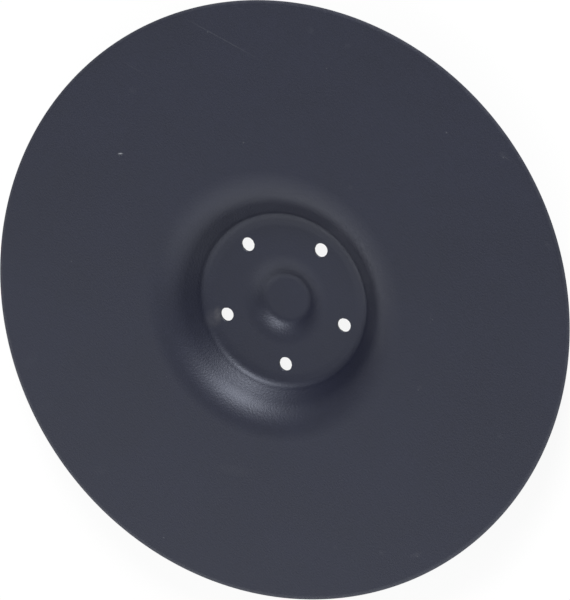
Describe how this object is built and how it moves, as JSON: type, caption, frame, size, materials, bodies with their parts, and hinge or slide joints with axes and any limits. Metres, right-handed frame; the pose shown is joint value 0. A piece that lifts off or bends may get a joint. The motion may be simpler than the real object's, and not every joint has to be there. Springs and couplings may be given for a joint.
{
  "type": "seed drill disc",
  "caption": "Flat round steel disc with a thin ground edge, an offset hub pressed into it, a central dimple and a ring of bolt holes, for opening a seed slot.",
  "frame": {"origin": "on the disc's axis, in the plane of the hub's seat face, at the centre of the bolt circle", "axes": "+Z along the disc's axis, out of the hub's bowl towards the front of the disc; +X through one of the bolt holes"},
  "size_m": [0.35, 0.35, 0.0277],
  "materials": {
    "dark_satin_paint": "satin"
  },
  "bodies": {
    "root": {"seed_disc": "dark_satin_paint"}
  },
  "joints": []
}
